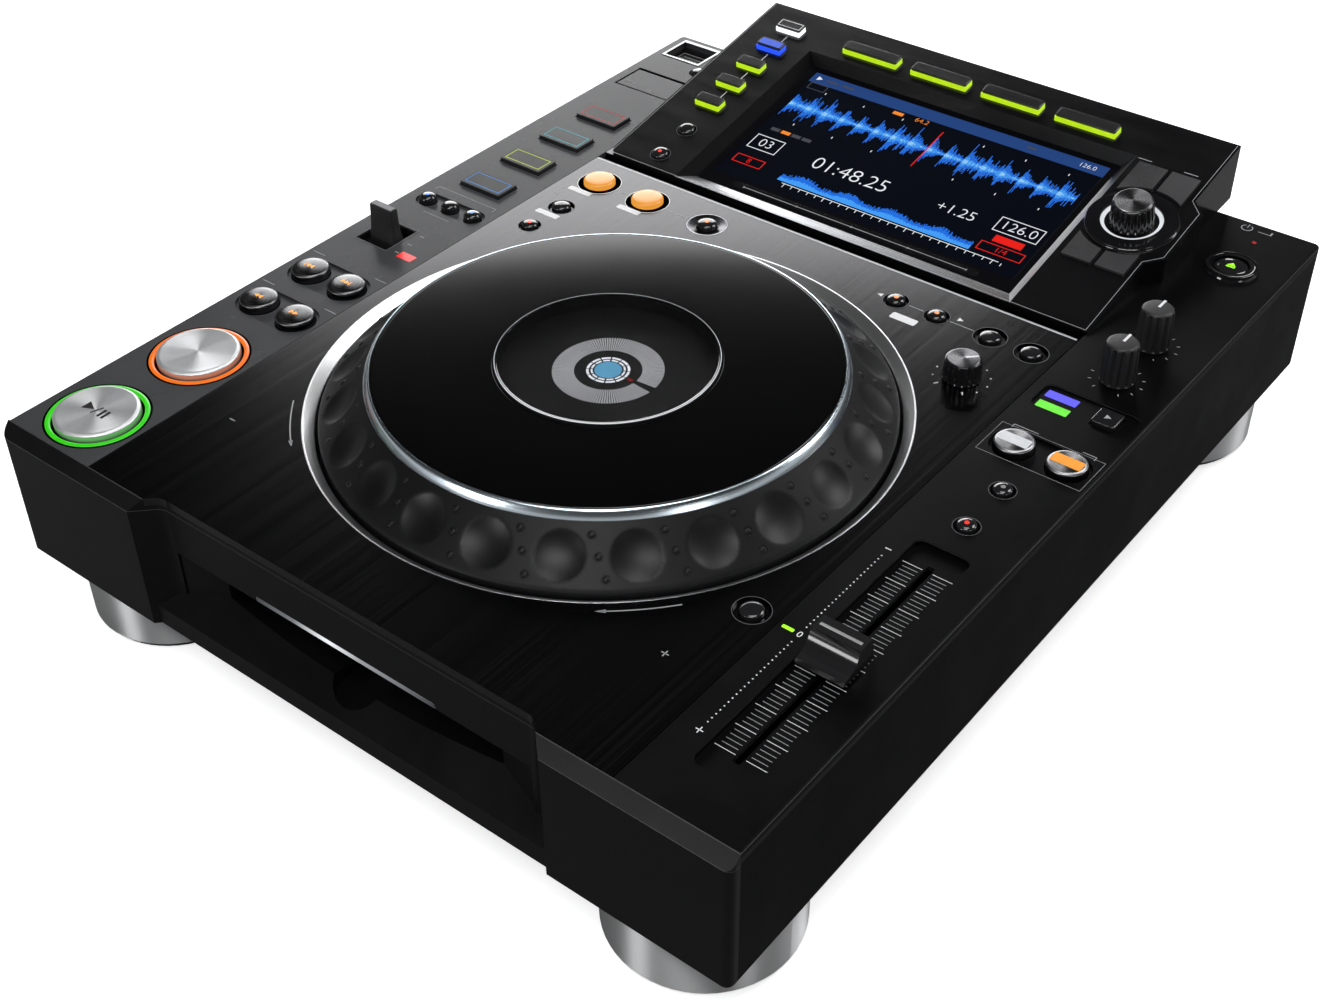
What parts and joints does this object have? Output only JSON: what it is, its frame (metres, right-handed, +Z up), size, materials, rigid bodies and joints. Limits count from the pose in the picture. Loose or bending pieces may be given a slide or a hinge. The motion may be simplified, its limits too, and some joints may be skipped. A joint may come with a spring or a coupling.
{
  "type": "tabletop dj disc player",
  "caption": "Slot-in disc player with a large jog wheel, a tilted screen module, transport keys, pads, knobs and a long tempo slider, on round feet.",
  "frame": {"origin": "on the table, under the middle of the player's overall box", "axes": "+X to the user's right, +Y from the front face to the back, +Z up"},
  "size_m": [0.32, 0.4056, 0.1088],
  "materials": {
    "black_moulding": "satin black moulded plastic",
    "side_metal": "satin black painted sheet",
    "left_grey": "satin dark grey",
    "right_black": "satin black",
    "brushed_black": "black anodised, brushed front to back",
    "gloss_black": "gloss black",
    "polished_ring": "polished",
    "chrome_trim": "bright",
    "wheel_rubber": "soft dark grey",
    "base_metal": "black steel sheet",
    "foot_metal": "polished turned silver",
    "pad_rubber": "matt black",
    "screw_metal": "zinc",
    "key_black": "gloss black",
    "key_metal": "radially turned silver",
    "key_amber": "lit amber",
    "key_white": "lit white",
    "knob_black": "satin black with flutes",
    "light_clear": "light guide",
    "screen_glass": "black screen glass",
    "board_green": "green board",
    "drive_metal": "folded sheet",
    "socket_black": "black sockets"
  },
  "bodies": {
    "chassis": {"base_plate": "base_metal", "front_bezel": "black_moulding", "left_side_panel": "side_metal", "right_side_panel": "side_metal", "rear_panel": "side_metal", "left_strip": "left_grey", "right_strip": "right_black", "centre_panel": "brushed_black", "jog_ring": "polished_ring", "jog_base": "black_moulding", "jog_display": "gloss_black", "display_housing": "gloss_black", "screen": "screen_glass", "light_guides": "light_clear", "feet": "foot_metal", "foot_pads": "pad_rubber", "foot_screws": "screw_metal", "main_board": "board_green", "disc_drive": "drive_metal", "rear_sockets": "socket_black", "media_sockets": "socket_black"},
    "jog": {"jog_wheel": "wheel_rubber", "jog_plate": "gloss_black", "jog_trim": "chrome_trim"},
    "play_button": {"play_button": "key_metal"},
    "cue_button": {"cue_button": "key_metal"},
    "search_buttons": {"search_buttons": "key_black"},
    "track_search_buttons": {"track_search_buttons": "key_black"},
    "bank_buttons": {"bank_buttons": "key_black"},
    "usb_stop_button": {"usb_stop_button": "key_black"},
    "hot_cue_pad_1": {"hot_cue_pad_1": "key_black"},
    "hot_cue_pad_2": {"hot_cue_pad_2": "key_black"},
    "hot_cue_pad_3": {"hot_cue_pad_3": "key_black"},
    "hot_cue_pad_4": {"hot_cue_pad_4": "key_black"},
    "loop_in_button": {"loop_in_button": "key_amber"},
    "loop_out_button": {"loop_out_button": "key_amber"},
    "reloop_button": {"reloop_button": "key_black"},
    "beat_loop_button": {"beat_loop_button": "key_black"},
    "slip_button": {"slip_button": "key_black"},
    "call_buttons": {"call_buttons": "key_black"},
    "memory_buttons": {"memory_buttons": "key_black"},
    "tempo_reset_button": {"tempo_reset_button": "key_black"},
    "tempo_buttons": {"tempo_buttons": "key_black"},
    "sync_button": {"sync_button": "key_white"},
    "master_button": {"master_button": "key_amber"},
    "jog_mode_button": {"jog_mode_button": "key_black"},
    "eject_button": {"eject_button": "key_black"},
    "source_buttons": {"source_buttons": "key_black"},
    "menu_buttons": {"menu_buttons": "key_black"},
    "mode_buttons": {"mode_buttons": "key_black"},
    "nav_buttons": {"nav_buttons": "key_black"},
    "jog_adjust_knob": {"jog_adjust_knob": "knob_black"},
    "knob_a": {"knob_a": "knob_black"},
    "knob_b": {"knob_b": "knob_black"},
    "selector_knob": {"selector_knob": "knob_black"},
    "direction_lever": {"direction_lever": "knob_black"},
    "tempo_slider": {"tempo_slider": "gloss_black"},
    "card_door": {"card_door": "key_black"},
    "power_switch": {"power_switch": "key_black"},
    "turntable": {"turntable": "drive_metal"}
  },
  "joints": [
    {"name": "jog_spin", "type": "hinge", "parent": "chassis", "child": "jog", "pos_m": [0, -0.05935, 0.0973], "axis": [0, 0, 1], "continuous": true},
    {"name": "play_button_press", "type": "slide", "parent": "chassis", "child": "play_button", "axis": [0, 0, 1], "range_m": [-0.001, 0], "stiffness_N_per_m": 300, "springref_m": 0.001},
    {"name": "cue_button_press", "type": "slide", "parent": "chassis", "child": "cue_button", "axis": [0, 0, 1], "range_m": [-0.001, 0], "stiffness_N_per_m": 300, "springref_m": 0.001},
    {"name": "search_buttons_press", "type": "slide", "parent": "chassis", "child": "search_buttons", "axis": [0, 0, 1], "range_m": [-0.001, 0], "stiffness_N_per_m": 300, "springref_m": 0.001},
    {"name": "track_search_buttons_press", "type": "slide", "parent": "chassis", "child": "track_search_buttons", "axis": [0, 0, 1], "range_m": [-0.001, 0], "stiffness_N_per_m": 300, "springref_m": 0.001},
    {"name": "bank_buttons_press", "type": "slide", "parent": "chassis", "child": "bank_buttons", "axis": [0, 0, 1], "range_m": [-0.001, 0], "stiffness_N_per_m": 300, "springref_m": 0.001},
    {"name": "usb_stop_button_press", "type": "slide", "parent": "chassis", "child": "usb_stop_button", "axis": [0, 0, 1], "range_m": [-0.001, 0], "stiffness_N_per_m": 300, "springref_m": 0.001},
    {"name": "hot_cue_pad_1_press", "type": "slide", "parent": "chassis", "child": "hot_cue_pad_1", "axis": [0, 0, 1], "range_m": [-0.001, 0], "stiffness_N_per_m": 300, "springref_m": 0.001},
    {"name": "hot_cue_pad_2_press", "type": "slide", "parent": "chassis", "child": "hot_cue_pad_2", "axis": [0, 0, 1], "range_m": [-0.001, 0], "stiffness_N_per_m": 300, "springref_m": 0.001},
    {"name": "hot_cue_pad_3_press", "type": "slide", "parent": "chassis", "child": "hot_cue_pad_3", "axis": [0, 0, 1], "range_m": [-0.001, 0], "stiffness_N_per_m": 300, "springref_m": 0.001},
    {"name": "hot_cue_pad_4_press", "type": "slide", "parent": "chassis", "child": "hot_cue_pad_4", "axis": [0, 0, 1], "range_m": [-0.001, 0], "stiffness_N_per_m": 300, "springref_m": 0.001},
    {"name": "loop_in_button_press", "type": "slide", "parent": "chassis", "child": "loop_in_button", "axis": [0, 0, 1], "range_m": [-0.001, 0], "stiffness_N_per_m": 300, "springref_m": 0.001},
    {"name": "loop_out_button_press", "type": "slide", "parent": "chassis", "child": "loop_out_button", "axis": [0, 0, 1], "range_m": [-0.001, 0], "stiffness_N_per_m": 300, "springref_m": 0.001},
    {"name": "reloop_button_press", "type": "slide", "parent": "chassis", "child": "reloop_button", "axis": [0, 0, 1], "range_m": [-0.001, 0], "stiffness_N_per_m": 300, "springref_m": 0.001},
    {"name": "beat_loop_button_press", "type": "slide", "parent": "chassis", "child": "beat_loop_button", "axis": [0, 0, 1], "range_m": [-0.001, 0], "stiffness_N_per_m": 300, "springref_m": 0.001},
    {"name": "slip_button_press", "type": "slide", "parent": "chassis", "child": "slip_button", "axis": [0, 0, 1], "range_m": [-0.001, 0], "stiffness_N_per_m": 300, "springref_m": 0.001},
    {"name": "call_buttons_press", "type": "slide", "parent": "chassis", "child": "call_buttons", "axis": [0, 0, 1], "range_m": [-0.001, 0], "stiffness_N_per_m": 300, "springref_m": 0.001},
    {"name": "memory_buttons_press", "type": "slide", "parent": "chassis", "child": "memory_buttons", "axis": [0, 0, 1], "range_m": [-0.001, 0], "stiffness_N_per_m": 300, "springref_m": 0.001},
    {"name": "tempo_reset_button_press", "type": "slide", "parent": "chassis", "child": "tempo_reset_button", "axis": [0, 0, 1], "range_m": [-0.001, 0], "stiffness_N_per_m": 300, "springref_m": 0.001},
    {"name": "tempo_buttons_press", "type": "slide", "parent": "chassis", "child": "tempo_buttons", "axis": [0, 0, 1], "range_m": [-0.001, 0], "stiffness_N_per_m": 300, "springref_m": 0.001},
    {"name": "sync_button_press", "type": "slide", "parent": "chassis", "child": "sync_button", "axis": [0, 0, 1], "range_m": [-0.001, 0], "stiffness_N_per_m": 300, "springref_m": 0.001},
    {"name": "master_button_press", "type": "slide", "parent": "chassis", "child": "master_button", "axis": [0, 0, 1], "range_m": [-0.001, 0], "stiffness_N_per_m": 300, "springref_m": 0.001},
    {"name": "jog_mode_button_press", "type": "slide", "parent": "chassis", "child": "jog_mode_button", "axis": [0, 0, 1], "range_m": [-0.001, 0], "stiffness_N_per_m": 300, "springref_m": 0.001},
    {"name": "eject_button_press", "type": "slide", "parent": "chassis", "child": "eject_button", "axis": [0, 0, 1], "range_m": [-0.001, 0], "stiffness_N_per_m": 300, "springref_m": 0.001},
    {"name": "source_buttons_press", "type": "slide", "parent": "chassis", "child": "source_buttons", "axis": [0, -0.1908, 0.9816], "range_m": [-0.001, 0], "stiffness_N_per_m": 300, "springref_m": 0.001},
    {"name": "menu_buttons_press", "type": "slide", "parent": "chassis", "child": "menu_buttons", "axis": [0, -0.1908, 0.9816], "range_m": [-0.001, 0], "stiffness_N_per_m": 300, "springref_m": 0.001},
    {"name": "mode_buttons_press", "type": "slide", "parent": "chassis", "child": "mode_buttons", "axis": [0, -0.1908, 0.9816], "range_m": [-0.001, 0], "stiffness_N_per_m": 300, "springref_m": 0.001},
    {"name": "nav_buttons_press", "type": "slide", "parent": "chassis", "child": "nav_buttons", "axis": [0, -0.1908, 0.9816], "range_m": [-0.001, 0], "stiffness_N_per_m": 300, "springref_m": 0.001},
    {"name": "jog_adjust_turn", "type": "hinge", "parent": "chassis", "child": "jog_adjust_knob", "pos_m": [0.0933, 0.02705, 0.0836], "axis": [0, 0, 1], "range_deg": [-140, 140]},
    {"name": "knob_a_turn", "type": "hinge", "parent": "chassis", "child": "knob_a", "pos_m": [0.1383, 0.08665, 0.0836], "axis": [0, 0, 1], "range_deg": [-150, 150]},
    {"name": "knob_b_turn", "type": "hinge", "parent": "chassis", "child": "knob_b", "pos_m": [0.1383, 0.05915, 0.0836], "axis": [0, 0, 1], "range_deg": [-150, 150]},
    {"name": "selector_turn", "type": "hinge", "parent": "chassis", "child": "selector_knob", "pos_m": [0.1004, 0.14158, 0.09647], "axis": [0, -0.1908, 0.9816], "continuous": true},
    {"name": "direction_lever_tilt", "type": "hinge", "parent": "chassis", "child": "direction_lever", "pos_m": [-0.1425, -0.02785, 0.0726], "axis": [-1, 0, 0], "range_deg": [-15, 15]},
    {"name": "tempo_slide", "type": "slide", "parent": "chassis", "child": "tempo_slider", "axis": [0, 1, 0], "range_m": [-0.05, 0.05]},
    {"name": "card_door_hinge", "type": "hinge", "parent": "chassis", "child": "card_door", "pos_m": [-0.1381, 0.14955, 0.0823], "axis": [-1, 0, 0], "range_deg": [0, 100]},
    {"name": "power_rocker", "type": "hinge", "parent": "chassis", "child": "power_switch", "pos_m": [0.08, 0.18345, 0.0578], "axis": [1, 0, 0], "range_deg": [0, 14]},
    {"name": "turntable_spin", "type": "hinge", "parent": "chassis", "child": "turntable", "pos_m": [0, -0.10985, 0.0454], "axis": [0, 0, 1], "continuous": true}
  ]
}
